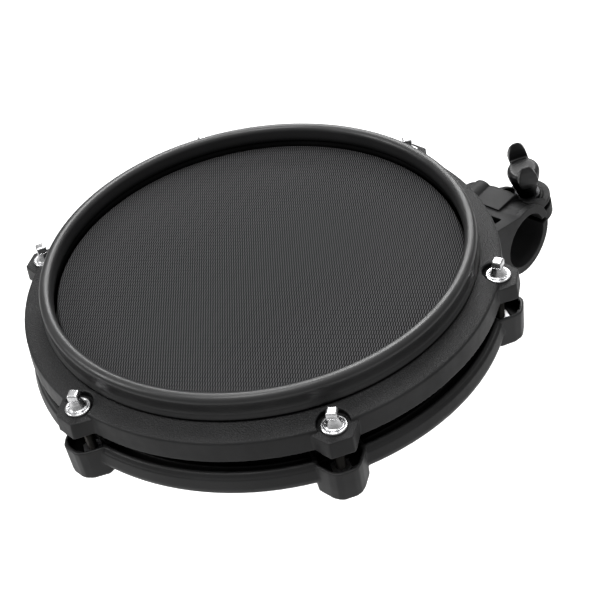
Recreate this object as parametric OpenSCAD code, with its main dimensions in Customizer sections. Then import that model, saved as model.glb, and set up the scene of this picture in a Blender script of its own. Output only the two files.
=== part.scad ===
// Ten inch mesh-head practice pad with its L-shaped rod and rack clamp.
// Origin: centre of the rack clamp's tube bore. +X along the tube,
// +Y away from the player, +Z square to the playing surface.

/* [Head and rim] */
// Radius of the visible playing surface
head_r = 120; // [119:0.5:121]
// Radius of the rolled bead on top of the rubber rim
bead_r = 3.5; // [3:0.1:3.8]
// Height of the bead's centre above the playing surface
bead_z = 10.3; // [9.6:0.1:11]
// Drop from the playing surface to the hoop's outer edge
flange_drop = 3.9; // [3.5:0.1:4.4]

/* [Tension rods] */
// Radius of the circle that the tension rods stand on
rod_circle_r = 139.1; // [138.8:0.1:139.4]
// Radius of a tension rod's shank
shank_r = 2.77; // [2.5:0.01:2.8]
// Width of the square drive head across its flats
square_w = 6; // [5.6:0.1:6.3]
// Height of the top of the square head above the playing surface
head_top = 5.5; // [5:0.25:8]

/* [Shell] */
// Radius of the lower shell at its widest
shell_r = 143.8; // [143.4:0.1:144.2]
// Depth of the bottom cover's outside below the playing surface
cover_z = 52; // [51.5:0.5:52.5]

/* [L-rod] */
// Radius of the rod
l_rod_r = 6.35; // [6.2:0.05:6.35]
// Length of the upright leg below the bend
leg_v = 92; // [88:2:110]
// Length of the level leg beyond the bend
leg_h = 118; // [100:2:124]
// Radius of the bend on the rod's centre line
bend_r = 16; // [15:0.5:17]

/* [Rack clamp] */
// Radius of the rack tube that the clamp closes on
tube_r = 19.05; // [18.9:0.05:19.1]
// Length of the collar along the tube
collar_l = 52; // [46:1:56]
// Outside radius of the collar
collar_r = 24; // [23.5:0.25:25]

/* [Hidden] */
$fn = 96;

bore_r = tube_r + 0.1;          // clamp bore
sleeve_x = 8;                   // upright leg's axis in the clamp's frame
sleeve_y = -45;
pad_x = -38;                    // pad axis in the clamp's frame
pad_y = -178;
pad_z = 77;                     // playing surface above the tube's axis
leg_z = -65;                    // level leg's axis below the playing surface
rod_az = atan2(sleeve_y - pad_y, sleeve_x - pad_x);
rod_reach = norm([sleeve_x - pad_x, sleeve_y - pad_y]);
sleeve_top = leg_z + pad_z - bend_r - 6;
sleeve_h = 34;
bush_r = 9;                     // outside radius of both split bushes
bush_hole = l_rod_r + 0.05;
flap_y = 32;                    // wing bolt's place behind the tube
flap_x = 6;
flap_t = 5;                     // top face of the upper flap above the slit's middle
flap_tip = 12;                  // the flaps and their bolt are turned up round the tube by this angle
set_x = 68;                     // clamping screw's place along the level leg
head_turn = [-20, 10, 30, 25, -2, -2];    // how each square head is left turned
lug_a = [for (i = [0:5]) 30 + 60*i];
ear_z = -6.2;                   // top face of the hoop's ears
skirt_z = -16.7;                // bottom edge of the hoop
deck_z = -26.9;                 // top face of the lower shell

module at_pad() translate([pad_x, pad_y, pad_z]) children();
module at_lugs() for (a = lug_a) rotate([0, 0, a]) translate([rod_circle_r, 0, 0]) children();
module tube(ro, ri, h) difference() {
    cylinder(r = ro, h = h);
    translate([0, 0, -1]) cylinder(r = ri, h = h + 2);
}
module hexagon(af, h) cylinder(r = af/sqrt(3), h = h, $fn = 6);
// cross-recessed pan-head screw: head below z = 0, shank up
module pan_screw(rs, rh, len) difference() {
    union() {
        translate([0, 0, -2.2]) cylinder(r = rh, h = 2.2);
        cylinder(r = rs, h = len);
    }
    for (a = [0, 90]) rotate([0, 0, a]) translate([-rh*0.6, -0.45, -2.3]) cube([rh*1.2, 0.9, 1.2]);
}

// ---------- clamping screws: axis +Z, z = 0 on the clamped part's axis ----------
module set_shoe(a) difference() {
    translate([0, 0, a + 0.1]) cylinder(r = 5, h = 3.9);
    translate([0, 0, a + 2]) cylinder(r = 2.6, h = 3);
}
module set_nut(a) difference() {
    translate([0, 0, a + 5.05]) hexagon(13, 6);
    translate([0, 0, a + 4]) cylinder(r = 4.06, h = 9);
}
module set_stud(a) {
    translate([0, 0, a + 2.05]) cylinder(r = 2.5, h = 2.5);
    translate([0, 0, a + 4.3]) cylinder(r = 4, h = 23.7);
}
// moulded grip: a flared cup with two tall domed ears, base at z = 0
module grip_ear() intersection() {
    rotate([90, 0, 0]) linear_extrude(16, center = true)
        polygon([[4, 14.8], [12.2, 15.8], [14.4, 18.2], [15.5, 22], [15.3, 27], [14.4, 32], [13, 35.6], [11.8, 35.6], [10.4, 31], [9.6, 24], [4, 22]]);
    translate([2, 0, 0]) rotate([90, 0, 90]) linear_extrude(18)
        polygon([[0, 15.2], [2.8, 16], [4.9, 17.9], [6.2, 20.8], [6.5, 24], [5.8, 28.5], [4.2, 32.6], [2.2, 35.1], [0, 36],
            [-2.2, 35.1], [-4.2, 32.6], [-5.8, 28.5], [-6.5, 24], [-6.2, 20.8], [-4.9, 17.9], [-2.8, 16]]);
}
module grip(hole_r, hole_h) difference() {
    union() {
        rotate_extrude() polygon([[0, 0], [6.2, 0], [6.6, 2], [10.4, 16.5], [10.9, 20], [10.3, 22.8], [8.4, 24], [4, 23.4], [0, 23.2]]);
        grip_ear();
        mirror([1, 0, 0]) grip_ear();
    }
    translate([0, 0, -1]) cylinder(r = hole_r, h = hole_h + 1);
}
// cut for a clamping screw of this kind
module set_cut(a) {
    translate([0, 0, a - 2]) cylinder(r = 5.08, h = 6.9);
    translate([0, 0, a + 4]) cylinder(r = 4.3, h = 9);
    translate([0, 0, a + 5]) hexagon(13.1, 8);
}
module at_rod_set() translate([sleeve_x, sleeve_y, sleeve_top - sleeve_h/2]) rotate([0, -90, 0]) children();
module at_pad_set() at_pad() rotate([0, 0, rod_az]) translate([set_x, 0, leg_z]) rotate([180, 0, 0]) children();
module at_flap() rotate([flap_tip, 0, 0]) translate([flap_x, flap_y, 0]) children();

// ---------- rack clamp ----------
module arm_side() polygon([[4, collar_r - 0.3], [-8, collar_r + 0.2], [-34, collar_r + 5.2], [-35.5, collar_r + 3.8],
    [-35.5, sleeve_top + 3], [-38, sleeve_top], [sleeve_y, sleeve_top], [sleeve_y, sleeve_top - sleeve_h],
    [-14, -23], [4, -23]]);
module rack_clamp() color([0.10, 0.10, 0.11]) difference() {
    union() {
        // collar with a raised lip at each end
        translate([-collar_l/2, 0, 0]) rotate([0, 90, 0]) cylinder(r = collar_r, h = collar_l);
        for (x = [-collar_l/2, collar_l/2 - 4]) translate([x, 0, 0]) rotate([0, 90, 0]) cylinder(r = collar_r + 1, h = 4);
        // rounded rib over the collar beside the arm
        translate([-15, 9, 0]) rotate([90, 0, 0]) linear_extrude(26) union() {
            translate([0, collar_r - 3]) circle(r = 8);
            translate([-8, 8]) square([16, collar_r - 11]);
        }
        // arm towards the rod sleeve
        translate([-9, 0, 0]) rotate([90, 0, 90]) linear_extrude(collar_l/2 + 9) arm_side();
        // saddle over the collar
        translate([-9, 0, 0]) rotate([90, 0, 90]) linear_extrude(20) polygon([[13, 10], [13, 24], [9, 27], [-10, 26], [-10, 10]]);
        // rod sleeve with a lip
        translate([sleeve_x, sleeve_y, sleeve_top - sleeve_h]) cylinder(r = 15, h = sleeve_h);
        translate([sleeve_x, sleeve_y, sleeve_top - 4]) cylinder(r = 16.2, h = 4);
        // boss of the rod's clamping screw
        translate([sleeve_x - bush_r - 12.6, sleeve_y - 11, sleeve_top - sleeve_h/2 - 11]) cube([14, 22, 22]);
        // flaps behind the tube
        rotate([flap_tip, 0, 0]) translate([flap_x - 15, 8, -12]) cube([30, flap_y - 8, flap_t + 12]);
        at_flap() translate([0, 0, -12]) cylinder(r = 15, h = flap_t + 12);
        at_flap() translate([0, 0, -12]) cylinder(r = 10.5, h = flap_t + 13);
        for (x = [flap_x - 15, flap_x + 11]) rotate([flap_tip, 0, 0]) translate([x, 0, 0]) rotate([90, 0, 90])
            linear_extrude(4) polygon([[10, 0], [flap_y, 0], [flap_y, flap_t + 2], [flap_y - 4, flap_t + 6], [13, collar_r - 2]]);
    }
    translate([-collar_l, 0, 0]) rotate([0, 90, 0]) cylinder(r = bore_r, h = 2*collar_l);
    // slit between the flaps
    rotate([flap_tip, 0, 0]) translate([-collar_l, 10, -2]) cube([2*collar_l, flap_y + 20, 4]);
    // bolt hole and seat for its square neck and head
    at_flap() translate([0, 0, -20]) cylinder(r = 4.2, h = 50);
    at_flap() translate([0, 0, -12.5]) cylinder(r = 9.1, h = 3.5);
    at_flap() translate([-4.1, -4.1, -12]) cube([8.2, 8.2, 7]);
    // pockets between the arm's ribs
    for (x = [-4.5, 9.5]) translate([x, -33, 0]) rotate([90, 0, 90]) linear_extrude(9)
        polygon([[15.5, collar_r - 3], [15.5, 60], [-0.5, 60], [-0.5, 8], [5, 8]]);
    for (x = [-4.5, 9.5]) translate([x, -33, -40]) cube([9, 12, 32]);
    // rod sleeve bore and its clamping screw
    translate([sleeve_x, sleeve_y, sleeve_top - sleeve_h - 1]) cylinder(r = bush_r + 0.05, h = sleeve_h + 20);
    translate([sleeve_x, sleeve_y, sleeve_top]) cylinder(r = 12, h = 30);
    at_rod_set() set_cut(bush_r);
}
module clamp_bolt() color("silver") at_flap() difference() {
    union() {
        translate([0, 0, -12.4]) cylinder(r = 9, h = 3.3);
        translate([-4, -4, -9.5]) cube([8, 8, 4.4]);
        translate([0, 0, -6]) cylinder(r = 4, h = flap_t + 26);
    }
    translate([0, 0, flap_t + 19]) tube(6, 3.4, 3);
}
module clamp_washer() color("silver") at_flap() translate([0, 0, flap_t + 1.05]) tube(8.5, 4.1, 1.6);
module clamp_wing_nut() color([0.09, 0.09, 0.10]) at_flap() translate([0, 0, flap_t + 2.7]) rotate([0, 0, -40]) grip(4.06, 19);
module rod_set_nut() color("silver") at_rod_set() set_nut(bush_r);
module rod_set_shoe() color("goldenrod") at_rod_set() set_shoe(bush_r);
module rod_set_stud() color("silver") at_rod_set() set_stud(bush_r);
module rod_set_wing() color([0.09, 0.09, 0.10]) at_rod_set() translate([0, 0, bush_r + 14]) grip(4.02, 14.1);
module clamp_rod_bush() color([0.85, 0.85, 0.80]) translate([sleeve_x, sleeve_y, sleeve_top - sleeve_h]) difference() {
    union() {
        cylinder(r = bush_r, h = sleeve_h);
        translate([0, 0, sleeve_h + 0.05]) cylinder(r = 11.5, h = 1.6);
        translate([0, 0, sleeve_h - 1]) cylinder(r = bush_r, h = 2);
    }
    translate([0, 0, -1]) cylinder(r = bush_hole, h = sleeve_h + 5);
    translate([4, -1, -1]) cube([20, 2, sleeve_h + 5]);
}

// ---------- L-rod ----------
module l_rod() color("silver") at_pad() rotate([0, 0, rod_az]) translate([rod_reach, 0, leg_z]) {
    translate([0, 0, -bend_r - leg_v]) cylinder(r = l_rod_r, h = leg_v);
    translate([-bend_r, 0, 0]) rotate([0, -90, 0]) cylinder(r = l_rod_r, h = leg_h);
    translate([-bend_r, 0, -bend_r]) rotate([90, 0, 0]) rotate_extrude(angle = 90) translate([bend_r, 0]) circle(r = l_rod_r);
}
module rod_end_caps() color([0.08, 0.08, 0.08]) at_pad() rotate([0, 0, rod_az]) translate([rod_reach, 0, leg_z]) {
    translate([0, 0, -bend_r - leg_v - 3.05]) cylinder(r1 = 5.4, r2 = 6.35, h = 3);
    translate([-bend_r - leg_h - 0.05, 0, 0]) rotate([0, -90, 0]) cylinder(r1 = 6.35, r2 = 5.4, h = 3);
}

// ---------- rod block under the pad ----------
block_x0 = 54; block_x1 = 102; block_w = 40; block_bot = -80;
module pad_rod_bush() color([0.85, 0.85, 0.80]) at_pad() rotate([0, 0, rod_az]) translate([block_x0, 0, leg_z]) rotate([0, 90, 0]) difference() {
    union() {
        cylinder(r = bush_r, h = block_x1 - block_x0 + 0.5);
        translate([0, 0, block_x1 - block_x0 + 0.05]) cylinder(r = 11.5, h = 1.6);
    }
    translate([0, 0, -1]) cylinder(r = bush_hole, h = 70);
    translate([0, -1, -1]) translate([4, 0, 0]) cube([20, 2, 70]);
}
module rod_block() color([0.11, 0.11, 0.12]) at_pad() rotate([0, 0, rod_az]) difference() {
    union() {
        translate([block_x0, -block_w/2, block_bot + 6]) cube([block_x1 - block_x0, block_w, -cover_z - 0.05 - block_bot - 6]);
        translate([block_x0, -14, block_bot]) cube([block_x1 - block_x0, 28, 10]);
        translate([block_x0, 0, leg_z]) rotate([0, 90, 0]) cylinder(r = 12.8, h = block_x1 - block_x0);
        translate([set_x - 12, -12, leg_z - 20]) cube([24, 24, 10]);
        translate([block_x0 - 8, -34, -cover_z - 4.05]) cube([block_x1 - block_x0 + 6, 68, 4]);
    }
    translate([block_x0 - 20, 0, leg_z]) rotate([0, 90, 0]) cylinder(r = bush_r + 0.05, h = 100);
    translate([set_x, 0, leg_z]) rotate([180, 0, 0]) set_cut(bush_r);
    for (x = [block_x0 - 2, block_x1 - 8], y = [-28, 28]) translate([x, y, -80]) cylinder(r = 2.2, h = 40);
    for (s = [-1, 1]) translate([block_x0 - 1, s*17.5 - 2, block_bot + 4]) cube([14, 4, 16]);
}
module rod_block_screws() color("silver") at_pad() rotate([0, 0, rod_az])
    for (x = [block_x0 - 2, block_x1 - 8], y = [-28, 28]) translate([x, y, -cover_z - 4.1]) pan_screw(1.95, 3.8, 12);
module pad_set_nut() color("silver") at_pad_set() translate([0, 0, 0]) set_nut(bush_r);
module pad_set_shoe() color("goldenrod") at_pad_set() set_shoe(bush_r);
module pad_set_stud() color("silver") at_pad_set() set_stud(bush_r);
module pad_set_wing() color([0.09, 0.09, 0.10]) at_pad_set() translate([0, 0, bush_r + 14]) rotate([0, 0, 90]) grip(4.02, 14.1);

// ---------- shell ----------
// rounded hexagonal lug outline, x outwards from the rod's axis
module boss_2d(g = 0) polygon([[-9 - g, -13.5 - g], [2, -14 - g], [9.5, -9.2 - g], [12.6 + g, -6.2 - g], [13.4 + g, -3.4],
    [13.4 + g, 3.4], [12.6 + g, 6.2 + g], [9.5, 9.2 + g], [2, 14 + g], [-9 - g, 13.5 + g]]);
jack_a = 205; jack_rr = 84;
module bottom_cover() color([0.11, 0.11, 0.12]) at_pad() difference() {
    union() {
        rotate_extrude($fn = 180) polygon([[0, -cover_z], [101, -cover_z], [103.5, -cover_z + 1], [112, -44.6], [114, -44], [136.4, -44],
            [136.4, -41.5], [112.5, -41.5], [102, -cover_z + 3.4], [100, -cover_z + 2.5], [0, -cover_z + 2.5]]);
        rotate([0, 0, rod_az]) for (x = [block_x0 - 2, block_x1 - 8], y = [-28, 28]) translate([x, y, -cover_z + 2]) cylinder(r = 4.5, h = 9);
        rotate([0, 0, jack_a]) translate([jack_rr, 0, -cover_z + 2]) tube(9, 4.7, 2);
        for (a = [235, 300]) rotate([0, 0, a]) translate([70, 0, -cover_z + 2]) cylinder(r = 3.5, h = 4.5);
    }
    rotate([0, 0, rod_az]) for (x = [block_x0 - 2, block_x1 - 8], y = [-28, 28]) translate([x, y, -cover_z - 1]) cylinder(r = 2, h = 10.5);
    for (i = [0:5]) rotate([0, 0, 60*i]) translate([124, 0, -50]) cylinder(r = 1.8, h = 12);
    rotate([0, 0, jack_a]) translate([jack_rr, 0, -cover_z - 1]) cylinder(r = 4.7, h = 10);
    for (a = [235, 300]) rotate([0, 0, a]) translate([70, 0, -cover_z + 3]) cylinder(r = 1.1, h = 6);
    at_lugs() translate([0, 0, -60]) linear_extrude(30) boss_2d(0.4);
}
module cover_screws() color("silver") at_pad() for (i = [0:5]) rotate([0, 0, 60*i]) translate([124, 0, -44.05]) pan_screw(1.4, 3.3, 11);
module lower_shell() color([0.12, 0.12, 0.13]) at_pad() difference() {
    union() {
        rotate_extrude($fn = 180) polygon([[100, deck_z], [130, deck_z], [130.7, -33], [137.5, -33], [138.2, deck_z - 0.4], [138.6, deck_z],
            [139.2, deck_z], [140.6, deck_z - 0.5], [141.3, deck_z - 2.2], [142.4, deck_z - 3],
            [shell_r, -35.9], [shell_r - 0.5, -38.4], [shell_r - 3, -41.6], [shell_r - 6, -43.4], [136.9, -43.6], [136.9, -41],
            [139.4, -40], [140.6, -37], [139.6, -35.8], [128.5, -35.8], [127.4, deck_z - 3.2], [100, deck_z - 3.2]]);
        at_lugs() translate([0, 0, -46.8]) linear_extrude(19.6) boss_2d();
        at_lugs() translate([0, 0, -48.2]) linear_extrude(1.5) boss_2d(-0.9);
        for (i = [0:5]) rotate([0, 0, 60*i]) translate([124, 0, -41.45]) cylinder(r = 4.5, h = 14);
    }
    at_lugs() translate([0, 0, -46]) cylinder(r = 3.2, h = 20);
    at_lugs() translate([0, 0, -44]) hexagon(10.1, 20);
    at_lugs() translate([0, 0, -35.6]) linear_extrude(12) boss_2d(-2.3);
    for (i = [0:5]) rotate([0, 0, 60*i]) translate([124, 0, -44]) cylinder(r = 1.45, h = 12);
    for (i = [0:5]) rotate([0, 0, 60*i + 14]) translate([121, 0, -40]) cylinder(r = 1.8, h = 20);
    for (x = [-1, 1], y = [-12, 12]) translate([x*104.5, y, -40]) cylinder(r = 1.45, h = 20);
}
module lug_inserts() color("goldenrod") at_pad() at_lugs() translate([0, 0, -43.9]) difference() {
    hexagon(10, 8.2);
    translate([0, 0, -1]) cylinder(r = shank_r + 0.06, h = 20);
}
module bearing_ring() color([0.07, 0.07, 0.08]) at_pad() difference() {
    rotate_extrude($fn = 180) polygon([[117.6, -0.95], [118.6, -1.2], [119.2, -2], [119.3, -3], [119.3, -18.4], [127.6, -18.8],
        [128.4, -19.6], [128.4, deck_z + 0.05], [112, deck_z + 0.05], [112, deck_z + 3], [116, deck_z + 3.4], [116.4, -2.6]]);
    for (i = [0:5]) rotate([0, 0, 60*i + 14]) translate([121, 0, -28]) cylinder(r = 1.45, h = 8);
}
module bearing_ring_screws() color("silver") at_pad() for (i = [0:5]) rotate([0, 0, 60*i + 14]) translate([121, 0, deck_z - 3.25]) pan_screw(1.4, 3.3, 10);

// ---------- sensing ----------
bridge_top = deck_z + 5.1;
module sensor_bridge() color([0.55, 0.56, 0.58]) at_pad() difference() {
    union() {
        translate([-109, -18, bridge_top - 3]) cube([218, 36, 3]);
        for (y = [-18, 15]) translate([-92, y, bridge_top - 9]) cube([184, 3, 7]);
    }
    for (x = [-1, 1], y = [-12, 12]) translate([x*104.5, y, -40]) cylinder(r = 1.7, h = 30);
    for (x = [-66, 66]) translate([x, 0, -40]) cylinder(r = 10, h = 30);
}
module bridge_dampers() color([0.05, 0.05, 0.05]) at_pad() for (x = [-1, 1], y = [-12, 12])
    translate([x*104.5, y, deck_z + 0.02]) tube(4.4, 1.7, 2.03);
module bridge_screws() color("silver") at_pad() for (x = [-1, 1], y = [-12, 12])
    translate([x*104.5, y, bridge_top + 0.05]) rotate([180, 0, 0]) pan_screw(1.4, 3.3, 9);
module sensor_foam() color([0.15, 0.15, 0.16]) at_pad() translate([0, 0, bridge_top + 0.05]) cylinder(r = 17.5, h = 5);
module sensor_plate() color("silver") at_pad() translate([0, 0, bridge_top + 5.1]) cylinder(r = 20, h = 1);
module head_piezo() color("goldenrod") at_pad() translate([0, 0, bridge_top + 6.15]) {
    cylinder(r = 13.5, h = 0.4);
    translate([0, 0, 0.3]) cylinder(r = 10, h = 0.4);
}
module foam_cone() color([0.16, 0.16, 0.17]) at_pad() translate([0, 0, bridge_top + 6.95]) cylinder(r1 = 16, r2 = 7, h = -0.9 - 0.35 - bridge_top - 6.95);
module rim_piezo() color("goldenrod") at_pad() translate([-54, 62, -cover_z + 2.55]) {
    cylinder(r = 13.5, h = 0.4);
    translate([0, 0, 0.3]) cylinder(r = 10, h = 0.4);
}
module circuit_board() color("darkgreen") at_pad() difference() {
    rotate([0, 0, 267.5]) translate([45, -46, -cover_z + 6.55]) cube([40, 92, 1.6]);
    for (a = [235, 300]) rotate([0, 0, a]) translate([70, 0, -60]) cylinder(r = 1.4, h = 30);
}
module board_screws() color("silver") at_pad() for (a = [235, 300]) rotate([0, 0, a]) translate([70, 0, -cover_z + 8.2]) rotate([180, 0, 0]) pan_screw(1.05, 2.4, 4.5);
module output_jack() color([0.06, 0.06, 0.06]) at_pad() rotate([0, 0, jack_a]) translate([jack_rr, 0, 0]) difference() {
    union() {
        translate([-8, -8, -cover_z + 4.05]) cube([16, 16, 27]);
        translate([0, 0, -cover_z - 5]) cylinder(r = 4.6, h = 12);
    }
    translate([0, 0, -cover_z - 6]) cylinder(r = 3.25, h = 34);
}
module jack_nut() color("silver") at_pad() rotate([0, 0, jack_a]) translate([jack_rr, 0, -cover_z - 2.6]) difference() {
    hexagon(13, 2.5);
    translate([0, 0, -1]) cylinder(r = 4.65, h = 5);
}
// flat two-core ribbons lying clear of their neighbours
module sensor_leads() color("firebrick") at_pad() {
    translate([16.3, -1, bridge_top + 7.0]) cube([6.7, 2, 0.9]);
    translate([21, -1, bridge_top + 7.0]) cube([2, 22, 0.9]);
    translate([21, 19, -43.8]) cube([2, 2, bridge_top + 7.9 + 43.8]);
    translate([21, -44, -43.8]) cube([2, 65, 0.9]);
    translate([-61, 50, -cover_z + 3.3]) cube([2, 12, 0.9]);
    translate([-61, 50, -cover_z + 3.3]) cube([2, 2, 4.7]);
    translate([-61, -42.4, -44.9]) cube([2, 94.4, 0.9]);
    translate([-61, -42.4, -44.9]) cube([31, 2, 0.9]);
}

// ---------- head and hoop ----------
module mesh_head() color([0.17, 0.17, 0.18]) at_pad() rotate_extrude($fn = 180)
    polygon([[0, 0], [118.6, 0], [119.6, -0.4], [head_r + 0.1, -1.4], [head_r + 0.1, -14], [119.45, -14], [119.45, -2.4], [118.7, -1.1], [117.8, -0.85], [0, -0.85]]);
module flesh_hoop() color([0.20, 0.20, 0.21]) at_pad() rotate_extrude($fn = 180)
    polygon([[head_r + 0.5, -9.7], [head_r + 1.1, -9.1], [126.4, -9.1], [127, -9.7], [127, -14.4], [126.4, -15], [head_r + 1.1, -15], [head_r + 0.5, -14.4]]);
module ear_2d() polygon([[-10, -13.5], [0.3, -13.5], [9.2, -7.4], [10.6, -6.2], [10.6, 6.2], [9.2, 7.4], [0.3, 13.5], [-10, 13.5]]);
module counter_hoop() color([0.12, 0.12, 0.13]) at_pad() difference() {
    union() {
        rotate_extrude($fn = 180) polygon([[125.4, -0.95], [139.2, -flange_drop], [140, -4.3], [140.5, -5], [141.5, skirt_z], [138.5, skirt_z],
            [137.5, -8.2], [130, -6.6], [129, -9], [122.4, -9], [122.4, 9.1], [125.4, 9.1]]);
        at_lugs() translate([0, 0, skirt_z + 0.02]) linear_extrude(ear_z - skirt_z - 0.02) ear_2d();
    }
    at_lugs() translate([0, 0, ear_z + 0.02]) cylinder(r = 9, h = 12);
    at_lugs() translate([0, 0, -20]) cylinder(r = shank_r + 0.08, h = 20);
}
module rubber_rim() color([0.10, 0.10, 0.11]) at_pad() rotate_extrude($fn = 180) difference() {
    union() {
        translate([123.9, bead_z]) circle(r = bead_r);
        polygon([[124, -0.85], [128.1, -0.85], [128.5, 0.1], [128.2, 1.4], [127.3, 2.4], [126.9, 5], [127.1, 8], [127.4, bead_z],
            [120.4, bead_z], [120.5, 3], [121, 2.4], [124, 2.4]]);
    }
    translate([122.35, -5]) square([3.1, 14.15]);
}
module rod_washers() color("silver") at_pad() at_lugs() translate([0, 0, ear_z + 0.02]) tube(7, 3, 1.2);
module tension_rod(i) color("silver") at_pad() rotate([0, 0, lug_a[i - 1]]) translate([rod_circle_r, 0, 0]) {
    translate([0, 0, ear_z + 1.25]) cylinder(r = 5.1, h = 0.9);
    translate([0, 0, ear_z + 2.1]) cylinder(r1 = 4.6, r2 = 2.9, h = 5);
    rotate([0, 0, head_turn[i - 1] - 52 - lug_a[i - 1]]) translate([-square_w/2, -square_w/2, ear_z + 6.8]) cube([square_w, square_w, head_top - ear_z - 6.8]);
    translate([0, 0, -43]) cylinder(r = shank_r, h = 43 + ear_z + 1.5);
}
module tension_rod_1() tension_rod(1);
module tension_rod_2() tension_rod(2);
module tension_rod_3() tension_rod(3);
module tension_rod_4() tension_rod(4);
module tension_rod_5() tension_rod(5);
module tension_rod_6() tension_rod(6);

rack_clamp();
clamp_bolt();
clamp_washer();
clamp_wing_nut();
rod_set_nut();
rod_set_shoe();
rod_set_stud();
rod_set_wing();
clamp_rod_bush();
l_rod();
rod_end_caps();
pad_rod_bush();
rod_block();
rod_block_screws();
pad_set_nut();
pad_set_shoe();
pad_set_stud();
pad_set_wing();
bottom_cover();
cover_screws();
lower_shell();
lug_inserts();
bearing_ring();
bearing_ring_screws();
sensor_bridge();
bridge_dampers();
bridge_screws();
sensor_foam();
sensor_plate();
head_piezo();
foam_cone();
rim_piezo();
circuit_board();
board_screws();
output_jack();
jack_nut();
sensor_leads();
mesh_head();
flesh_hoop();
counter_hoop();
rubber_rim();
rod_washers();
tension_rod_1();
tension_rod_2();
tension_rod_3();
tension_rod_4();
tension_rod_5();
tension_rod_6();
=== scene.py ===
import bpy, bmesh, math
import numpy as np
from mathutils import Matrix, Vector, noise


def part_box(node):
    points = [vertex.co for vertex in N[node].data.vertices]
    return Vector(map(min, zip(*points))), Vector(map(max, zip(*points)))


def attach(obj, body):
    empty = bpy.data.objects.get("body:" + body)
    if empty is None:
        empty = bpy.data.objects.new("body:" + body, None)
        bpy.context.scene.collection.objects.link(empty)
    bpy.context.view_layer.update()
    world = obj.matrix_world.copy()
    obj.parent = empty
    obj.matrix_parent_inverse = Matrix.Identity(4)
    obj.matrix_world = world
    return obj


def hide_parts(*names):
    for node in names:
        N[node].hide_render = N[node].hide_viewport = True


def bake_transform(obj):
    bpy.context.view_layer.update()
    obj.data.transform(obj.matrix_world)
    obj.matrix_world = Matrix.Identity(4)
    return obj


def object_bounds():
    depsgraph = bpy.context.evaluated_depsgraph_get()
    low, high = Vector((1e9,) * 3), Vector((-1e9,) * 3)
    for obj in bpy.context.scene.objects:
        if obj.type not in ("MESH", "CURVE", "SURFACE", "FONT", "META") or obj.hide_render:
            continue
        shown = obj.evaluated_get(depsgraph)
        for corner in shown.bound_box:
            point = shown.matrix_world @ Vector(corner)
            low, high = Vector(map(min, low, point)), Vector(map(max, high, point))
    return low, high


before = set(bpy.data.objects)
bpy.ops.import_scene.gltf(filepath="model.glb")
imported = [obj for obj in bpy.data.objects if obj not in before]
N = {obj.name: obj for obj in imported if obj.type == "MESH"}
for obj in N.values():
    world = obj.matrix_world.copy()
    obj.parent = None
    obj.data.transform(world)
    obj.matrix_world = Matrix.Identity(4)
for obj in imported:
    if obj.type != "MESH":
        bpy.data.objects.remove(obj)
lo0, hi0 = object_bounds()
SC = bpy.context.scene

# ------------------------------------------------------------------ places
hl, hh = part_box("counter_hoop")
ml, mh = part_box("mesh_head")
PX, PY = (ml[0] + mh[0]) / 2, (ml[1] + mh[1]) / 2
PZ = mh[2]
PAD = Vector((PX, PY, PZ))
LUGS = [math.radians(30 + 60 * i) for i in range(6)]
mm = 0.001


# ------------------------------------------------------------------ meshes
def new_obj(name, verts, faces, smooth=True):
    me = bpy.data.meshes.new(name)
    me.from_pydata([tuple(v) for v in verts], [], [tuple(f) for f in faces])
    me.validate()
    me.polygons.foreach_set("use_smooth", [smooth] * len(me.polygons))
    me.update()
    ob = bpy.data.objects.new(name, me)
    SC.collection.objects.link(ob)
    return ob


def ring_faces(m, n, close_profile=True):
    """m profile points by n steps round."""
    i = np.arange(m if close_profile else m - 1)
    j = np.arange(n)
    I, J = np.meshgrid(i, j, indexing="ij")
    I2, J2 = (I + 1) % m, (J + 1) % n
    return np.stack([I * n + J, I * n + J2, I2 * n + J2, I2 * n + J], -1).reshape(-1, 4)


def lathe(name, prof, n=360, centre=PAD, wob=0.0):
    """closed profile of (r, z) in mm, turned round the vertical axis through centre"""
    p = np.array(prof, float) * mm
    a = np.linspace(0, 2 * np.pi, n, endpoint=False)
    r = p[:, 0][:, None] * np.ones(n)[None]
    z = p[:, 1][:, None] * np.ones(n)[None]
    if wob:
        z = z + wob * mm * np.sin(a * 3 + 0.7)[None] * 0.5 + wob * mm * 0.5 * np.sin(a * 7 + 2.1)[None]
    v = np.stack([r * np.cos(a), r * np.sin(a), z], -1).reshape(-1, 3) + np.array(centre)
    return new_obj(name, v, ring_faces(len(p), n)[:, ::-1])


def rounded(pts, r, seg=5):
    """corner-rounded copy of a closed polygon; r is one radius or a list"""
    out = []
    m = len(pts)
    for i, p in enumerate(pts):
        ri = r[i] if isinstance(r, (list, tuple)) else r
        p = Vector(p)
        a, b = Vector(pts[i - 1]) - p, Vector(pts[(i + 1) % m]) - p
        la, lb = a.length, b.length
        ang = a.angle(b)
        if ri <= 0 or ang > 3.1:
            out.append(tuple(p))
            continue
        t = min(ri / math.tan(ang / 2), la * 0.45, lb * 0.45)
        s, e = p + a * (t / la), p + b * (t / lb)
        for k in range(seg + 1):
            w = k / seg
            out.append(tuple(s * (1 - w) ** 2 + p * 2 * w * (1 - w) + e * w * w))
    return out


def evaluated(ob):
    dg = bpy.context.evaluated_depsgraph_get()
    me = bpy.data.meshes.new_from_object(ob.evaluated_get(dg))
    ob.modifiers.clear()
    ob.data = me
    me.polygons.foreach_set("use_smooth", [True] * len(me.polygons))
    return ob


def copy_cad(node, name):
    ob = bpy.data.objects.new(name, N[node].data.copy())
    ob.data.materials.clear()
    SC.collection.objects.link(ob)
    return ob


def weld(ob, d=1e-6):
    bm = bmesh.new()
    bm.from_mesh(ob.data)
    bmesh.ops.remove_doubles(bm, verts=bm.verts, dist=d)
    bm.to_mesh(ob.data)
    bm.free()


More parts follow.
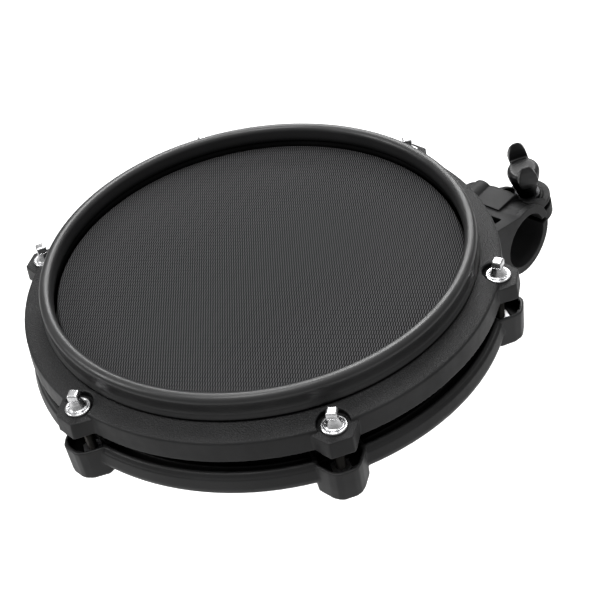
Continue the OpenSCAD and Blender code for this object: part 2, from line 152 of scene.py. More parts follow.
def softened(node, name, voxel=0.45, smooth=6, factor=0.5):
    """the CAD node's own surface with its edges rounded over"""
    ob = copy_cad(node, name)
    weld(ob)
    m = ob.modifiers.new("r", "REMESH")
    m.mode = "VOXEL"
    m.voxel_size = voxel * mm
    s = ob.modifiers.new("s", "SMOOTH")
    s.iterations = smooth
    s.factor = factor
    evaluated(ob)
    return ob


def coords(ob):
    c = np.empty(len(ob.data.vertices) * 3, np.float32)
    ob.data.vertices.foreach_get("co", c)
    return c.reshape(-1, 3).astype(float)


def set_coords(ob, c):
    ob.data.vertices.foreach_set("co", c.astype(np.float32).ravel())
    ob.data.update()


def join(name, obs):
    vs, fs, base = [], [], 0
    for o in obs:
        c = [o.matrix_world @ v.co for v in o.data.vertices]
        vs += [tuple(v) for v in c]
        fs += [tuple(i + base for i in p.vertices) for p in o.data.polygons]
        base += len(c)
        bpy.data.objects.remove(o)
    return new_obj(name, vs, fs)


def bevel_box(sx, sy, sz, b, seg=3):
    bm = bmesh.new()
    bmesh.ops.create_cube(bm, size=1)
    for v in bm.verts:
        v.co = Vector((v.co.x * sx, v.co.y * sy, v.co.z * sz))
    bmesh.ops.bevel(bm, geom=list(bm.edges), offset=b, segments=seg, profile=0.5, affect="EDGES")
    me = bpy.data.meshes.new("box")
    bm.to_mesh(me)
    bm.free()
    ob = bpy.data.objects.new("box", me)
    SC.collection.objects.link(ob)
    return ob


# ------------------------------------------------------------------ materials
class Mat:
    def __init__(self, name):
        self.m = bpy.data.materials.new(name)
        self.m.use_nodes = True
        self.t = self.m.node_tree
        self.b = self.t.nodes["Principled BSDF"]
        self.tc = self.t.nodes.new("ShaderNodeTexCoord")

    def n(self, kind, **kw):
        node = self.t.nodes.new(kind)
        for k, v in kw.items():
            if k.startswith("i_"):
                key = k[2:]
                key = int(key) if key.isdigit() else key.replace("_", " ")
                node.inputs[key].default_value = v
            else:
                setattr(node, k, v)
        return node

    def l(self, a, b):
        self.t.links.new(a, b)

    def set(self, **kw):
        for k, v in kw.items():
            self.b.inputs[k.replace("_", " ")].default_value = v

    def noise(self, scale, detail=3.0, rough=0.5, vec=None):
        x = self.n("ShaderNodeTexNoise")
        x.inputs["Scale"].default_value = scale
        x.inputs["Detail"].default_value = detail
        x.inputs["Roughness"].default_value = rough
        self.l(vec or self.tc.outputs["Object"], x.inputs["Vector"])
        return x.outputs["Fac"]

    def mrange(self, v, a, b, c, d):
        x = self.n("ShaderNodeMapRange")
        for k, val in zip(("From Min", "From Max", "To Min", "To Max"), (a, b, c, d)):
            x.inputs[k].default_value = val
        self.l(v, x.inputs["Value"])
        return x.outputs["Result"]

    def math(self, op, a, b=None, c=None):
        x = self.n("ShaderNodeMath", operation=op)
        for i, v in enumerate((a, b, c)):
            if v is None:
                continue
            if isinstance(v, (int, float)):
                x.inputs[i].default_value = v
            else:
                self.l(v, x.inputs[i])
        return x.outputs[0]

    def mix(self, fac, c1, c2):
        x = self.n("ShaderNodeMix", data_type="RGBA")
        for sock, v in ((x.inputs["Factor"], fac), (x.inputs[6], c1), (x.inputs[7], c2)):
            if isinstance(v, (int, float)):
                sock.default_value = v
            elif isinstance(v, tuple):
                sock.default_value = (*v, 1) if len(v) == 3 else v
            else:
                self.l(v, sock)
        return x.outputs[2]


def plastic(name, base, rough=0.45, grain=1500, bump=0.25, dist=0.00006, var=0.25, edge=0.0, spec=0.5,
            stipple=None, coat=0.0, bevel=0.0, lift=0.0, painted_shade_ao=None):
    """moulded plastic or rubber: fine grain, slow tone drift, rubbed edges, and painted shade in crevices when given"""
    M = Mat(name)
    big = M.noise(18, 3)
    fine = M.noise(grain, 4, 0.6)
    dust = M.noise(260, 5, 0.7)
    dark = tuple(c * (1 - var) for c in base)
    light = tuple(min(1, c * (1 + var) + 0.004) for c in base)
    col = M.mix(M.mrange(big, 0.35, 0.65, 0, 1), dark, light)
    col = M.mix(M.mrange(dust, 0.62, 0.8, 0, 0.35), col, tuple(min(1, c * 1.9 + 0.01) for c in base))
    if edge > 0:
        geo = M.n("ShaderNodeNewGeometry")
        pt = M.mrange(geo.outputs["Pointiness"], 0.515, 0.56, 0, edge)
        col = M.mix(pt, col, tuple(min(1, c * 2.4 + 0.02) for c in base))
    M.l(col, M.b.inputs["Base Color"])
    r = M.mrange(M.noise(70, 4, 0.6), 0.3, 0.7, rough - 0.07, rough + 0.07)
    r = M.math("ADD", r, M.mrange(fine, 0.3, 0.7, -0.03, 0.03))
    M.l(r, M.b.inputs["Roughness"])
    M.set(Specular_IOR_Level=spec, Coat_Weight=coat, Coat_Roughness=0.25)
    h = fine
    st = bump
    if stipple:
        # pebbled grain only where the surface faces up
        v = M.n("ShaderNodeTexVoronoi", feature="F1")
        v.inputs["Scale"].default_value = stipple[0]
        M.l(M.tc.outputs["Object"], v.inputs["Vector"])
        n2 = M.noise(stipple[0] * 0.9, 3, 0.65)
        peb = M.math("ADD", M.math("MULTIPLY", v.outputs["Distance"], -0.9), n2)
        sep = M.n("ShaderNodeSeparateXYZ")
        M.l(M.tc.outputs["Normal"], sep.inputs[0])
        up = M.mrange(sep.outputs["Z"], 0.72, 0.93, 0, 1)
        b2 = M.n("ShaderNodeBump")
        b2.inputs["Distance"].default_value = stipple[1]
        M.l(peb, b2.inputs["Height"])
        M.l(M.math("MULTIPLY", up, stipple[2]), b2.inputs["Strength"])
        fleck = M.mrange(peb, 0.15, 0.5, 0, 0.9)
        col2 = M.mix(M.math("MULTIPLY", fleck, up), col, tuple(min(1, c * 2.2 + 0.008) for c in base))
        M.l(col2, M.b.inputs["Base Color"])
        r2 = M.math("ADD", r, M.math("MULTIPLY", up, stipple[3] if len(stipple) > 3 else 0.12))
        M.l(r2, M.b.inputs["Roughness"])
    if painted_shade_ao:
        # painted shade: ambient occlusion darkens the base colour and specular in crevices, recesses and gaps
        oc = M.n("ShaderNodeAmbientOcclusion", samples=12)
        oc.inputs["Distance"].default_value = painted_shade_ao[0]
        k = M.math("POWER", M.mrange(oc.outputs["AO"], painted_shade_ao[1], painted_shade_ao[2], 0, 1), 1.5)
        M.l(M.mix(k, (0.0006, 0.0006, 0.0006), M.b.inputs["Base Color"].links[0].from_socket), M.b.inputs["Base Color"])
        M.l(M.math("MULTIPLY", k, spec), M.b.inputs["Specular IOR Level"])
    b = M.n("ShaderNodeBump")
    b.inputs["Strength"].default_value = st
    b.inputs["Distance"].default_value = dist
    M.l(h, b.inputs["Height"])
    if stipple:
        M.l(b2.outputs["Normal"], b.inputs["Normal"])
        first = b2
    else:
        first = b
    if bevel > 0:
        bv = M.n("ShaderNodeBevel", samples=6)
        bv.inputs["Radius"].default_value = bevel
        M.l(bv.outputs["Normal"], first.inputs["Normal"])
    M.l(b.outputs["Normal"], M.b.inputs["Normal"])
    return M.m


def metal(name, base, rough=0.12, scratch=0.2, aniso=0.0, bevel=0.0003, grain=900, stretch=(1, 1, 1), tarnish=None, shank=None):
    M = Mat(name)
    mp = M.n("ShaderNodeMapping")
    mp.inputs["Scale"].default_value = stretch
    M.l(M.tc.outputs["Object"], mp.inputs["Vector"])
    fine = M.noise(grain, 5, 0.7, mp.outputs[0])
    big = M.noise(60, 4, 0.6)
    dark = tuple(c * 0.82 for c in base) if not tarnish else tarnish
    col = M.mix(M.mrange(big, 0.4, 0.75, 0, 0.7), base, dark)
    r = M.math("ADD", M.mrange(big, 0.3, 0.7, rough * 0.7, rough * 1.4), M.mrange(fine, 0.3, 0.7, 0, rough * 0.5))
    if shank is not None:
        # thread coloured darker and rougher below the head's underside
        sz = M.n("ShaderNodeSeparateXYZ")
        M.l(M.tc.outputs["Object"], sz.inputs[0])
        up = M.mrange(sz.outputs["Z"], shank - 0.0004, shank, 0, 1)
        col = M.mix(up, (0.05, 0.048, 0.045), col)
        r = M.math("ADD", r, M.math("MULTIPLY", M.math("SUBTRACT", 1.0, up), 0.22))
    M.l(col, M.b.inputs["Base Color"])
    M.l(r, M.b.inputs["Roughness"])
    M.set(Metallic=1.0, Anisotropic=aniso)
    b = M.n("ShaderNodeBump")
    b.inputs["Strength"].default_value = scratch
    b.inputs["Distance"].default_value = 0.00003
    M.l(fine, b.inputs["Height"])
    if bevel:
        bv = M.n("ShaderNodeBevel", samples=6)
        bv.inputs["Radius"].default_value = bevel
        M.l(bv.outputs["Normal"], b.inputs["Normal"])
    M.l(b.outputs["Normal"], M.b.inputs["Normal"])
    return M.m


def weave(name, turn=math.radians(34.2), pitch=1.39 * mm, run=3.3 * mm, thread=(0.084, 0.084, 0.0865), gap=(0.0005, 0.0005, 0.0006)):
    """two-ply mesh: long floats that step from column to column, over a fine plain weave"""
    M = Mat(name)
    mp = M.n("ShaderNodeMapping")
    mp.inputs["Location"].default_value = (-PX, -PY, 0)
    mp.vector_type = "POINT"
    M.l(M.tc.outputs["Object"], mp.inputs["Vector"])
    rot = M.n("ShaderNodeVectorRotate", rotation_type="Z_AXIS")
    rot.inputs["Angle"].default_value = -turn
    M.l(mp.outputs[0], rot.inputs["Vector"])
    # slight wander of the threads
    wv = M.n("ShaderNodeTexNoise")
    wv.inputs["Scale"].default_value = 22
    M.l(rot.outputs[0], wv.inputs["Vector"])
    sc = M.n("ShaderNodeVectorMath", operation="SCALE")
    sc.inputs["Scale"].default_value = 0.0006
    M.l(wv.outputs["Color"], sc.inputs[0])
    add = M.n("ShaderNodeVectorMath", operation="ADD")
    M.l(rot.outputs[0], add.inputs[0])
    M.l(sc.outputs[0], add.inputs[1])
    sep = M.n("ShaderNodeSeparateXYZ")
    M.l(add.outputs[0], sep.inputs[0])
    # floats
    cu = M.math("COSINE", M.math("MULTIPLY", sep.outputs["X"], 2 * math.pi / pitch))
    cv = M.math("COSINE", M.math("MULTIPLY", sep.outputs["Y"], math.pi / run))
    cv = M.math("MAXIMUM", M.math("MINIMUM", M.math("MULTIPLY", cv, 2.2), 1.0), -1.0)
    fl = M.math("ADD", M.math("MULTIPLY", M.math("MULTIPLY", cu, cv), 0.5), 0.5)
    # fine plain weave under them
    k = math.pi / (0.62 * mm)
    u = M.math("MULTIPLY", sep.outputs["X"], k)
    v = M.math("MULTIPLY", sep.outputs["Y"], k)
    c1, c2 = M.math("COSINE", u), M.math("COSINE", v)
    s1, s2 = M.math("SINE", u), M.math("SINE", v)
    a = M.math("ADD", M.math("ABSOLUTE", c2), M.math("MULTIPLY", s1, c2))
    b = M.math("SUBTRACT", M.math("ABSOLUTE", c1), M.math("MULTIPLY", s2, c1))
    fine = M.math("MULTIPLY", M.math("MAXIMUM", a, b), 0.5)
    h = M.math("ADD", M.math("MULTIPLY", fl, 0.75), M.math("MULTIPLY", fine, 0.25))
    big = M.noise(9, 3)
    fibre = M.noise(4200, 2)
    col = M.mix(M.mrange(h, 0.44, 0.76, 0, 1), gap, thread)
    col = M.mix(M.mrange(big, 0.3, 0.7, 0, 0.18), col, tuple(c * 0.5 for c in thread))
    col = M.mix(M.mrange(fibre, 0.35, 0.75, 0, 0.12), col, tuple(c * 1.3 for c in thread))
    M.l(col, M.b.inputs["Base Color"])
    M.l(M.mrange(h, 0.3, 1.0, 0.85, 0.6), M.b.inputs["Roughness"])
    M.set(Specular_IOR_Level=0.06)
    bp = M.n("ShaderNodeBump")
    bp.inputs["Strength"].default_value = 0.4
    bp.inputs["Distance"].default_value = 0.00012
    M.l(h, bp.inputs["Height"])
    M.l(bp.outputs["Normal"], M.b.inputs["Normal"])
    return M.m


def foam_mat(name, base):
    M = Mat(name)
    v = M.n("ShaderNodeTexVoronoi", feature="DISTANCE_TO_EDGE")
    v.inputs["Scale"].default_value = 1100
    M.l(M.tc.outputs["Object"], v.inputs["Vector"])
    d = v.outputs["Distance"]
    n = M.noise(500, 4)
    M.l(M.mix(M.mrange(d, 0.0, 0.25, 1, 0), tuple(c * 0.35 for c in base), tuple(c * 1.3 for c in base)), M.b.inputs["Base Color"])
    M.l(M.mrange(n, 0.3, 0.7, 0.85, 0.98), M.b.inputs["Roughness"])
    b = M.n("ShaderNodeBump")
    b.inputs["Strength"].default_value = 0.7
    b.inputs["Distance"].default_value = 0.0004
    M.l(M.math("ADD", M.mrange(d, 0, 0.3, 1, 0), n), b.inputs["Height"])
    M.l(b.outputs["Normal"], M.b.inputs["Normal"])
    return M.m


# these plastics carry painted shade: their last setting darkens colour in crevices by ambient occlusion
HOOP = plastic("hoop_plastic", (0.016, 0.016, 0.0165), rough=0.46, grain=1400, bump=0.12, dist=0.00004, var=0.15,
               stipple=(1150, 0.0003, 1.0, 0.08), edge=0.25, spec=0.3, painted_shade_ao=(0.012, 0.15, 0.6))
SHELL = plastic("shell_plastic", (0.016, 0.016, 0.0165), rough=0.42, grain=1800, bump=0.12, dist=0.00004, var=0.15, edge=0.25, spec=0.36, painted_shade_ao=(0.018, 0.22, 0.7))
COVER = plastic("cover_plastic", (0.016, 0.016, 0.0165), rough=0.5, grain=900, bump=0.35, dist=0.00006, bevel=0.0006, spec=0.4, painted_shade_ao=(0.02, 0.22, 0.7))
BEAR = plastic("bearing_plastic", (0.003, 0.003, 0.003), rough=0.55, grain=1500, bump=0.08, spec=0.15, painted_shade_ao=(0.02, 0.3, 0.85))
RUBBER = plastic("rim_rubber", (0.019, 0.019, 0.0195), rough=0.37, grain=2600, bump=0.12, dist=0.00003, var=0.12, spec=0.62, painted_shade_ao=(0.012, 0.52, 0.86))
CLAMP = plastic("clamp_nylon", (0.016, 0.016, 0.0165), rough=0.52, grain=1000, bump=0.25, dist=0.00006, edge=0.12, spec=0.2, painted_shade_ao=(0.015, 0.3, 0.85))
GRIP = plastic("grip_plastic", (0.013, 0.013, 0.0135), rough=0.36, grain=1300, bump=0.2, dist=0.00005, edge=0.25, spec=0.4, painted_shade_ao=(0.012, 0.3, 0.85))
BUSH = plastic("bush_nylon", (0.045, 0.045, 0.045), rough=0.4, grain=1500, bump=0.15, bevel=0.0004)
CAPR = plastic("end_cap_rubber", (0.02, 0.02, 0.02), rough=0.6, grain=1500, bump=0.3, bevel=0.0005)
JACK = plastic("jack_plastic", (0.015, 0.015, 0.016), rough=0.25, grain=1500, bump=0.08, bevel=0.0004, coat=0.2)
FLESH = plastic("flesh_hoop_plastic", (0.03, 0.03, 0.03), rough=0.45, bevel=0.0003)
BOARD = plastic("board_mask", (0.012, 0.07, 0.03), rough=0.3, grain=700, bump=0.2, coat=0.4, bevel=0.0002)
LEAD = plastic("lead_jacket", (0.28, 0.02, 0.018), rough=0.42, grain=1500, bump=0.1, bevel=0.0002)
CHROME = metal("tension_chrome", (0.88, 0.88, 0.89), rough=0.17, scratch=0.02, bevel=0, grain=300)
TENSION = metal("tension_rod_plate", (0.9, 0.9, 0.91), rough=0.2, scratch=0.02, bevel=0, grain=300, shank=PZ - 0.0068)
RODCH = metal("rod_chrome", (0.82, 0.82, 0.84), rough=0.06, scratch=0.08, bevel=0.0002, stretch=(1, 1, 0.05))
ZINC = metal("zinc_steel", (0.58, 0.58, 0.60), rough=0.28, scratch=0.3, bevel=0.0003, tarnish=(0.48, 0.46, 0.42))
BRASS = metal("brass", (0.66, 0.47, 0.2), rough=0.25, scratch=0.25, bevel=0.0003, tarnish=(0.45, 0.3, 0.12))
BRIDGE = metal("bridge_steel", (0.52, 0.53, 0.55), rough=0.35, scratch=0.3, bevel=0.0004, grain=300, stretch=(0.05, 1, 1))
# dark steel colour for the clamp bolt and washer that sit under the wing nut
DARK_STEEL = metal("dark_steel", (0.06, 0.06, 0.062), rough=0.38, scratch=0.15, bevel=0.0003)
MESH = weave("mesh_weave")
FOAM = foam_mat("foam", (0.05, 0.05, 0.055))

CAD_MATS = {
    "rack_clamp": CLAMP, "clamp_wing_nut": GRIP, "rod_set_wing": GRIP, "pad_set_wing": GRIP,
    "clamp_bolt": DARK_STEEL, "clamp_washer": DARK_STEEL, "rod_set_nut": ZINC, "rod_set_stud": ZINC, "pad_set_nut": ZINC,
    "pad_set_stud": ZINC, "rod_block_screws": ZINC, "cover_screws": ZINC, "bearing_ring_screws": ZINC,
    "bridge_screws": ZINC, "board_screws": ZINC, "jack_nut": ZINC, "rod_set_shoe": BRASS, "pad_set_shoe": BRASS,
    "lug_inserts": ZINC, "head_piezo": BRASS, "rim_piezo": BRASS, "clamp_rod_bush": BUSH, "pad_rod_bush": BUSH,
    "l_rod": RODCH, "rod_end_caps": CAPR, "bridge_dampers": CAPR, "lower_shell": SHELL, "rod_block": COVER,
    "bottom_cover": COVER, "bearing_ring": BEAR, "sensor_bridge": BRIDGE, "sensor_plate": BRIDGE,
    "sensor_foam": FOAM, "foam_cone": FOAM, "circuit_board": BOARD, "output_jack": JACK, "sensor_leads": LEAD,
    "mesh_head": MESH, "flesh_hoop": FLESH, "counter_hoop": HOOP, "rubber_rim": RUBBER, "rod_washers": CHROME,
}
for i in range(1, 7):
    CAD_MATS["tension_rod_%d" % i] = TENSION
for n, m in CAD_MATS.items():
    N[n].data.materials.clear()
    N[n].data.materials.append(m)


def dress(ob, mat, body, *nodes):
    ob.data.materials.clear()
    ob.data.materials.append(mat)
    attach(ob, body)
    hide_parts(*nodes)
    return ob


# ------------------------------------------------------------------ rubber rim
def arc(cx, cz, r, a0, a1, n):
    return [(cx + r * math.cos(math.radians(a0 + (a1 - a0) * i / n)), cz + r * math.sin(math.radians(a0 + (a1 - a0) * i / n))) for i in range(n + 1)]


rim_prof = arc(123.9, 10.3, 3.5, -8, 188, 24) + [(120.42, 8.6), (120.45, 6), (120.5, 3.6), (120.7, 2.9), (121.2, 2.5), (122.33, 2.45), (122.33, 9.1),
            (125.47, 9.1), (125.47, -0.85)] + [(127.5, -0.88), (128.1, -0.75), (128.45, -0.3), (128.5, 0.2), (128.35, 0.9), (127.9, 1.6),
            (127.3, 2.3), (127.0, 3.4), (126.9, 5), (126.95, 6.6), (127.1, 8)]
rim = dress(lathe("rubber_rim_cover", rim_prof, 480), RUBBER, "hoop", "rubber_rim")

# ------------------------------------------------------------------ tension hoop
hoop = softened("counter_hoop", "tension_hoop", 0.45, 5)
c = coords(hoop)
for a in LUGS:
    e = np.array([math.cos(a), math.sin(a)])
    x = (c[:, 0] - PX) * e[0] + (c[:, 1] - PY) * e[1] - 0.1391
    y = -(c[:, 0] - PX) * e[1] + (c[:, 1] - PY) * e[0]
    z = c[:, 2] - PZ
    w = np.clip((x - 0.0035) / 0.004, 0, 1) * (np.abs(y) < 0.016)
    push = w * np.clip((-0.0062 - z) / 0.0105, 0, 1) * 0.0011
    c[:, 0] += e[0] * push
    c[:, 1] += e[1] * push
set_coords(hoop, c)
dress(hoop, HOOP, "hoop", "counter_hoop")

# ------------------------------------------------------------------ lower shell
shell = softened("lower_shell", "shell_ring", 0.5, 7)
dress(shell, SHELL, "pad", "lower_shell")

# ------------------------------------------------------------------ bearing ring
bring = dress(lathe("bearing_edge_ring", rounded([(117.6, -1.0), (118.5, -1.15), (119.25, -2.2), (119.3, -18.35), (127.4, -18.8), (128.35, -19.8), (128.35, -26.8),
            (112.1, -26.8), (112.1, -24), (116, -23.4), (116.3, -2.8)], [0.5, 0.6, 0.8, 0.9, 0.8, 0.8, 0.3, 0.3, 0.5, 0.6, 0.8], 4), 360), BEAR, "pad", "bearing_ring")

# ------------------------------------------------------------------ mesh head: stretched sheet, rolled edge and gathered collar
nr, na = 150, 480
rr = np.concatenate([np.linspace(0.002, 0.1170, nr), [0.1176, 0.1182, 0.1188, 0.1193, 0.1197, 0.12, 0.1201]])
zz = np.concatenate([np.zeros(nr), [-0.00001, -0.00004, -0.00012, -0.00028, -0.0006, -0.0011, -0.0018]])
rr = np.concatenate([rr, [0.12012, 0.12012, 0.1203, 0.1209, 0.1214]])
zz = np.concatenate([zz, [-0.004, -0.0078, -0.0086, -0.0090, -0.00905]])
sag = -0.00035 * np.clip(1 - (rr / 0.1165) ** 2, 0, 1)
press = 0.00025 * np.exp(-(rr / 0.008) ** 2)
a = np.linspace(0, 2 * np.pi, na, endpoint=False)
R2, A2 = np.meshgrid(rr, a, indexing="ij")
Z2 = (zz + sag + press)[:, None] * np.ones(na)[None]
tens = np.clip((R2 - 0.112) / 0.006, 0, 1) * np.clip((0.1195 - R2) / 0.002, 0, 1)
Z2 = Z2 - 0.00006 * tens * (0.5 + 0.5 * np.cos(A2 * 6 - math.pi))
top = np.stack([PX + R2 * np.cos(A2), PY + R2 * np.sin(A2), PZ + Z2], -1).reshape(-1, 3)
th = 0.0004
nrow = len(rr)
# under side: offset inwards from the sheet
dr, dz = np.gradient(rr), np.gradient(zz)
ln = np.hypot(dr, dz)
nrm = np.stack([dz / ln, -dr / ln], -1)
rb, zb = rr + nrm[:, 0] * th, zz + sag + press + nrm[:, 1] * th
R3 = np.maximum(rb, 0.001)[:, None] * np.ones(na)[None]
Z3 = zb[:, None] * np.ones(na)[None]
bot = np.stack([PX + R3 * np.cos(A2), PY + R3 * np.sin(A2), PZ + Z3], -1).reshape(-1, 3)
verts = np.concatenate([top, bot, [[PX, PY, PZ + sag[0] + press[0]], [PX, PY, PZ + sag[0] + press[0] - th]]])
F = []
for i in range(nrow - 1):
    for j in range(na):
        k = (j + 1) % na
        F.append((i * na + j, (i + 1) * na + j, (i + 1) * na + k, i * na + k))
        o = nrow * na
        F.append((o + i * na + k, o + (i + 1) * na + k, o + (i + 1) * na + j, o + i * na + j))
o = nrow * na
for j in range(na):
    k = (j + 1) % na
    F.append(((nrow - 1) * na + j, o + (nrow - 1) * na + j, o + (nrow - 1) * na + k, (nrow - 1) * na + k))
    F.append((2 * o, j, k))
    F.append((2 * o + 1, o + k, o + j))
head = new_obj("woven_mesh_head", verts, F)
head.data.materials.append(MESH)
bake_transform(head)
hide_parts("mesh_head")

# ------------------------------------------------------------------ foam
def foam_form(name, prof, centre, amp):
    ob = lathe(name, prof, 120, centre)
    c = coords(ob)
    ctr = np.array(centre)
    for i in range(len(c)):
        p = Vector(c[i]) * 420
        d = c[i] - ctr
        r = math.hypot(d[0], d[1])
        if r > 1e-4:
            c[i][:2] += d[:2] / r * noise.noise(p) * amp
    set_coords(ob, c)
    return ob


cl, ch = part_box("foam_cone")
cc = Vector(((cl[0] + ch[0]) / 2, (cl[1] + ch[1]) / 2, cl[2]))
H = (ch[2] - cl[2]) / mm
cone_prof = rounded([(0.3, 0), (15.7, 0), (15.2, 2.2), (12.2, H * 0.45), (8.4, H - 2.2), (6.5, H), (0.3, H)], [0, 0.8, 1, 3, 1.5, 1.2, 0], 6)
cone_prof = [p for i, p in enumerate(cone_prof)]
dress(foam_form("foam_cone_block", cone_prof, cc, 0.00025), FOAM, "pad", "foam_cone")
fl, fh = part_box("sensor_foam")
fc = Vector(((fl[0] + fh[0]) / 2, (fl[1] + fh[1]) / 2, fl[2]))
H = (fh[2] - fl[2]) / mm
dress(foam_form("sensor_foam_disc", rounded([(0.3, 0), (17.3, 0), (16.9, H / 2), (17.3, H), (0.3, H)], [0, 0.6, 1, 0.6, 0], 6), fc, 0.0002), FOAM, "pad", "sensor_foam")

# ------------------------------------------------------------------ tension rods with cut threads
HEAD_TURN = [-20, 10, 30, 25, -2, -2]


def rod(i):
    a = LUGS[i - 1]
    node = "tension_rod_%d" % i
    bl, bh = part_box(node)
    ctr = Vector((PX + 0.1391 * math.cos(a), PY + 0.1391 * math.sin(a), PZ))
    top = bh[2] - PZ
    # flange and plain shank
    prof = rounded([(0.2, -4.93), (5.05, -4.93), (5.05, -4.15), (4.5, -3.95), (3.5, -1.4), (2.75, 0.9), (0.2, 1.1)], [0, 0.25, 0.3, 0.5, 1.5, 0.3, 0], 5)
    fl = lathe("f", prof, 64, ctr)
    # square head, chamfered and crowned
    # rounded-square section swept up to a domed crown
    h0, hw, nq = 0.6, 2.97, 64
    tz = top / mm
    lev = [(h0, 2.45), (h0 + 0.35, 2.75), (h0 + 0.8, 2.93), (h0 + 1.3, hw)]
    lev += [(z, hw) for z in np.linspace(h0 + 2.0, tz - 1.35, 5)]
    lev += [(tz - 1.35 + 1.35 * math.sin(u), hw - 1.25 * (1 - math.cos(u))) for u in np.linspace(0.25, math.pi / 2 - 0.25, 7)]
    lev += [(tz - 0.02, hw - 1.6), (tz, hw - 2.1)]
    tn = math.radians(HEAD_TURN[i - 1] - 52)
    an = np.linspace(0, 2 * np.pi, nq, endpoint=False)
    e = 0.24
    cx = np.sign(np.cos(an)) * np.abs(np.cos(an)) ** e
    cy = np.sign(np.sin(an)) * np.abs(np.sin(an)) ** e
    v = []
    for z, w in lev:
        for x, y in zip(cx * w, cy * w):
            v.append((ctr[0] + (x * math.cos(tn) - y * math.sin(tn)) * mm, ctr[1] + (x * math.sin(tn) + y * math.cos(tn)) * mm, ctr[2] + z * mm))
    fs = [tuple(f) for f in ring_faces(len(lev), nq, False)]
    fs = [tuple(reversed(f)) for f in fs]
    v.append((ctr[0], ctr[1], ctr[2] + h0 * mm))
    v.append((ctr[0], ctr[1], ctr[2] + top))
    for j in range(nq):
        k = (j + 1) % nq
        fs.append((len(v) - 2, k, j))
        fs.append((len(v) - 1, (len(lev) - 1) * nq + j, (len(lev) - 1) * nq + k))
    sq = new_obj("q", v, fs)
    bmq = bmesh.new()
    bmq.from_mesh(sq.data)
    bmesh.ops.recalc_face_normals(bmq, faces=bmq.faces)
    bmq.to_mesh(sq.data)
    bmq.free()
    bpy.context.view_layer.update()
    # shank with a helical thread
    na_, pitch = 28, 1.0583
    z0, z1 = -43.0, -4.9
    nz = int((z1 - z0) / (pitch / 8))
    zs = np.linspace(z0, z1, nz)
    an = np.linspace(0, 2 * np.pi, na_, endpoint=False)
    Zs, An = np.meshgrid(zs, an, indexing="ij")
    ph = (Zs / pitch - An / (2 * np.pi)) % 1.0
    tri = 1 - np.abs(ph - 0.5) * 2
    thr = np.clip((-11.5 - Zs) / 1.5, 0, 1)
    r = 2.75 - 0.55 * thr * (1 - np.clip(tri * 1.25 - 0.1, 0, 1))
    r = np.where(Zs < z0 + 0.9, r - (z0 + 0.9 - Zs) * 0.7, r)
    v = np.stack([ctr[0] + r * mm * np.cos(An), ctr[1] + r * mm * np.sin(An), ctr[2] + Zs * mm], -1).reshape(-1, 3)
    fs = [tuple(f) for f in ring_faces(nz, na_, False)]
    v = np.concatenate([v, [[ctr[0], ctr[1], ctr[2] + z0 * mm], [ctr[0], ctr[1], ctr[2] + z1 * mm]]])
    for j in range(na_):
        k = (j + 1) % na_
        fs.append((nz * na_, k, j))
        fs.append((nz * na_ + 1, (nz - 1) * na_ + j, (nz - 1) * na_ + k))
    sh = new_obj("s", v, fs)
    ob = join("drum_key_rod_%d" % i, [fl, sq, sh])
    ob.data.polygons.foreach_set("use_smooth", [True] * len(ob.data.polygons))
    dress(ob, TENSION, node, node)
    return ob


def smooth_by_angle(ob, deg):
    bm = bmesh.new()
    bm.from_mesh(ob.data)
    lim = math.radians(deg)
    for e in bm.edges:
        e.smooth = not (len(e.link_faces) == 2 and e.calc_face_angle(0) > lim)
    bm.to_mesh(ob.data)
    bm.free()


for i in range(1, 7):
    smooth_by_angle(rod(i), 35)

ws = []
for a in LUGS:
    ctr = Vector((PX + 0.1391 * math.cos(a), PY + 0.1391 * math.sin(a), PZ))
    ws.append(lathe("w", rounded([(2.95, -6.18), (7.05, -6.18), (7.05, -4.9), (6.6, -4.55), (5.8, -4.6), (5.35, -5.05), (2.95, -5.05)], [0.15, 0.35, 0.4, 0.4, 0.4, 0.3, 0.2], 4), 96, ctr))
dress(join("plated_washers", ws), CHROME, "hoop", "rod_washers")

# ------------------------------------------------------------------ clamp and grips
def open_seat(ob, origin, axis):
    """keep the clamping shoe's seat at full bore after the smoothing"""
    c = coords(ob)
    ax = np.array(axis, float)
    ax /= np.linalg.norm(ax)
    d = c - np.array(origin)
    z = d @ ax
    rad = d - z[:, None] * ax
    r = np.linalg.norm(rad, axis=1)
    near = (r > 0.0039) & (r < 0.0052)
    end = near & (z > 0.0134) & (z < 0.01398)
    wall = near & (z > 0.0065) & (z <= 0.0136)
    z[end] = 0.01398
    k = np.ones(len(r))
    k[wall] = 0.0052 / r[wall]
    set_coords(ob, np.array(origin) + z[:, None] * ax + rad * k[:, None])
    return ob


dress(open_seat(softened("rack_clamp", "clamp_body", 0.4, 6), (0.008, -0.045, -0.027), (-1, 0, 0)), CLAMP, "clamp", "rack_clamp")
for n, b in (("clamp_wing_nut", "clamp_wing"), ("rod_set_wing", "rod_set_wing"), ("pad_set_wing", "pad_set_wing")):
    dress(softened(n, n + "_moulding", 0.35, 14), GRIP, b, n)
dress(open_seat(softened("rod_block", "rod_block_moulding", 0.4, 6), (-0.0157731, -0.1137352, 0.012), (0, 0, -1)), COVER, "pad", "rod_block")

# ------------------------------------------------------------------ stage, light, camera
fl_z = lo0[2] - 0.12
bpy.ops.mesh.primitive_plane_add(size=14, location=(0, 0, fl_z))
floor = bpy.context.object
floor.name = "floor"
FM = Mat("floor_paper")
FM.l(FM.mix(FM.mrange(FM.noise(3, 3), 0.3, 0.7, 0, 1), (0.72, 0.72, 0.72), (0.76, 0.76, 0.76)), FM.b.inputs["Base Color"])
FM.set(Roughness=0.9)
lp = FM.n("ShaderNodeLightPath")
FM.b.inputs["Emission Color"].default_value = (1, 1, 1, 1)
FM.l(FM.math("MULTIPLY", lp.outputs["Is Camera Ray"], 0.62), FM.b.inputs["Emission Strength"])
floor.data.materials.append(FM.m)

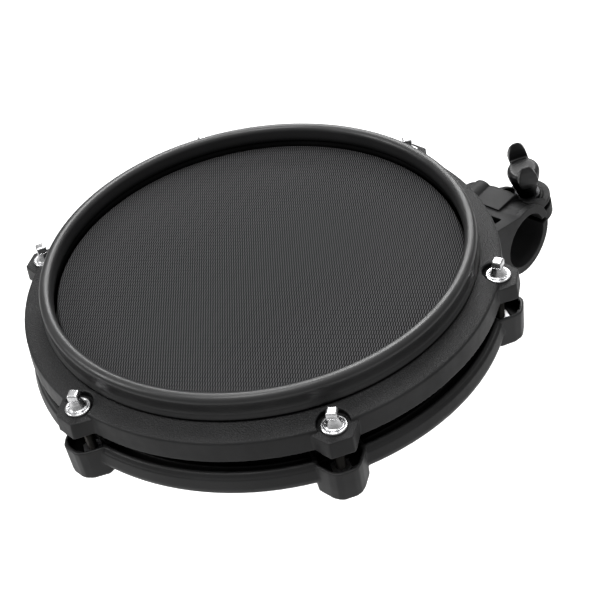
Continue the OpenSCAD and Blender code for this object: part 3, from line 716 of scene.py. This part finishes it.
world = bpy.data.worlds.new("w")
SC.world = world
world.use_nodes = True
wt = world.node_tree
bg = wt.nodes["Background"]
geo = wt.nodes.new("ShaderNodeTexCoord")
sepw = wt.nodes.new("ShaderNodeSeparateXYZ")
wt.links.new(geo.outputs["Generated"], sepw.inputs[0])
ramp = wt.nodes.new("ShaderNodeValToRGB")
ramp.color_ramp.elements[0].position = 0.42
ramp.color_ramp.elements[0].color = (0.10, 0.10, 0.10, 1)
ramp.color_ramp.elements[1].position = 0.95
ramp.color_ramp.elements[1].color = (0.85, 0.85, 0.85, 1)
mr = wt.nodes.new("ShaderNodeMapRange")
mr.inputs["From Min"].default_value = -1
wt.links.new(sepw.outputs["Z"], mr.inputs["Value"])
wt.links.new(mr.outputs["Result"], ramp.inputs["Fac"])
# the backdrop stays white to the eye and lights the pad more softly
lpw = wt.nodes.new("ShaderNodeLightPath")
bg2 = wt.nodes.new("ShaderNodeBackground")
bg2.inputs["Color"].default_value = (1, 1, 1, 1)
mixw = wt.nodes.new("ShaderNodeMixShader")
wt.links.new(ramp.outputs["Color"], bg.inputs["Color"])
bg.inputs["Strength"].default_value = 0.7
wt.links.new(lpw.outputs["Is Camera Ray"], mixw.inputs["Fac"])
wt.links.new(bg.outputs[0], mixw.inputs[1])
wt.links.new(bg2.outputs[0], mixw.inputs[2])
wt.links.new(mixw.outputs[0], wt.nodes["World Output"].inputs["Surface"])


def area(name, loc, target, size, power, size_y=None):
    ld = bpy.data.lights.new(name, "AREA")
    ld.energy = power
    ld.shape = "RECTANGLE"
    ld.size = size
    ld.size_y = size_y or size
    ob = bpy.data.objects.new(name, ld)
    ob.location = loc
    ob.rotation_euler = (Vector(target) - Vector(loc)).to_track_quat("-Z", "Y").to_euler()
    SC.collection.objects.link(ob)
    return ob


area("key", PAD + Vector((-0.45, 0.65, 1.1)), PAD, 0.55, 10)
area("top", PAD + Vector((0.05, -0.25, 1.3)), PAD, 0.5, 6)
area("horizon", PAD + Vector((-0.72, 1.06, 0.62)), PAD, 1.3, 9, 0.28)
area("front", PAD + Vector((-0.75, -0.9, 0.75)), PAD, 0.5, 4.5)

# camera solved from the round head and its six rods
F_PX = 1158.549
cam_d = bpy.data.cameras.new("cam")
cam_d.sensor_width = 36
cam_d.lens = F_PX / 600 * 36
cam_d.clip_start = 0.05
cam_d.clip_end = 50
cam = bpy.data.objects.new("cam", cam_d)
SC.collection.objects.link(cam)
R = np.array([[0.9858085505, 0.0916795954, -0.1406284236], [-0.0466311775, -0.6551908577, -0.7540228599], [-0.1612669682, 0.7498798516, -0.6416176222]])
t = np.array([-24.472347504, -23.600701433, 678.405562636]) * mm
q = math.radians(37.54)
Mz = np.array([[math.cos(q), math.sin(q), 0], [-math.sin(q), math.cos(q), 0], [0, 0, 1]])
C = Mz.T @ (-R.T @ t)
W = (R @ Mz).T @ np.diag([1, -1, -1])
M4 = Matrix([[W[0][0], W[0][1], W[0][2], C[0] + PX], [W[1][0], W[1][1], W[1][2], C[1] + PY], [W[2][0], W[2][1], W[2][2], C[2] + PZ], [0, 0, 0, 1]])
cam.matrix_world = M4
SC.camera = cam
SC.view_settings.view_transform = "Standard"
SC.view_settings.look = "None"
